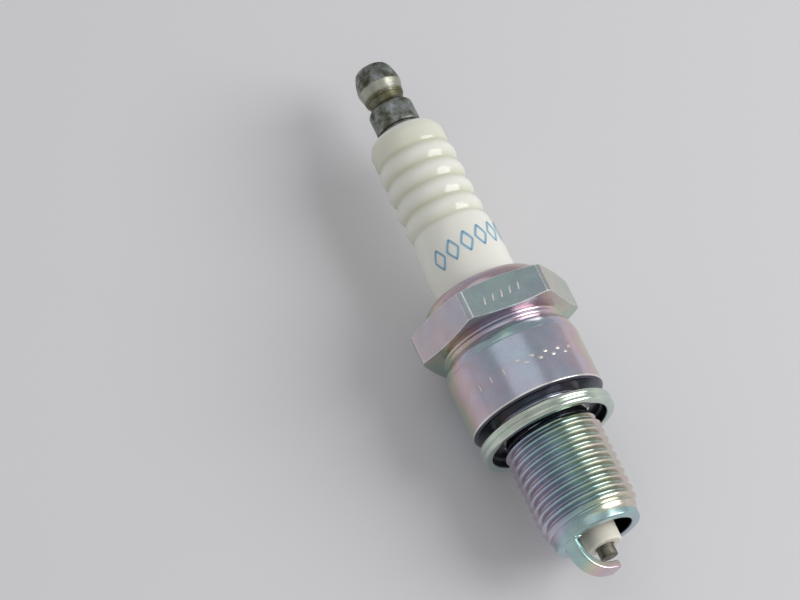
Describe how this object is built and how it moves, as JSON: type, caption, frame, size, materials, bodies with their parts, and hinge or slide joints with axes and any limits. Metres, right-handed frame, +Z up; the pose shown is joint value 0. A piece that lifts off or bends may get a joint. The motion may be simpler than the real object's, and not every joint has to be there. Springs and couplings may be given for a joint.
{
  "type": "spark plug",
  "caption": "Spark plug with a removable push-on terminal nut, ribbed white insulator, hexagon steel shell, folded gasket, threaded reach and bent side electrode.",
  "frame": {"origin": "middle of the hexagon flat that the plug lies on", "axes": "+Y along the plug's axis towards the terminal, +Z up from the flat it lies on, +X to the right seen from the nose"},
  "size_m": [0.0236, 0.0817, 0.0208],
  "materials": {
    "zinc_plated_steel": "bright zinc with an iridescent passivated film",
    "dull_nickel": "dull nickel plate, tarnished",
    "glazed_alumina": "glossy white glaze, bare at the nose",
    "crushed_steel": "pale plated sheet steel, folded",
    "nickel_alloy": "dark oxidised nickel alloy",
    "copper": "plain copper",
    "conductive_glass": "opaque copper-filled glass",
    "carbon_resistor": "matt carbon and glass mix",
    "pressed_talc": "pressed talc powder",
    "soft_washer": "soft copper-plated washer"
  },
  "bodies": {
    "root": {"metal_shell": "zinc_plated_steel", "ground_electrode": "zinc_plated_steel", "insulator": "glazed_alumina", "terminal_stud": "dull_nickel", "centre_electrode": "nickel_alloy", "electrode_copper_core": "copper", "upper_glass_seal": "conductive_glass", "lower_glass_seal": "conductive_glass", "resistor_element": "carbon_resistor", "talc_packing": "pressed_talc", "upper_packing_ring": "zinc_plated_steel", "lower_packing_ring": "zinc_plated_steel", "seat_washer": "soft_washer"},
    "terminal_nut": {"terminal_nut": "dull_nickel"},
    "gasket": {"gasket": "crushed_steel"}
  },
  "joints": [
    {"name": "nut_travel", "type": "slide", "parent": "root", "child": "terminal_nut", "axis": [0, 1, 0], "range_m": [0, 0.009]},
    {"name": "gasket_play", "type": "slide", "parent": "root", "child": "gasket", "axis": [0, 1, 0], "range_m": [-0.0012, 0.0013]}
  ]
}
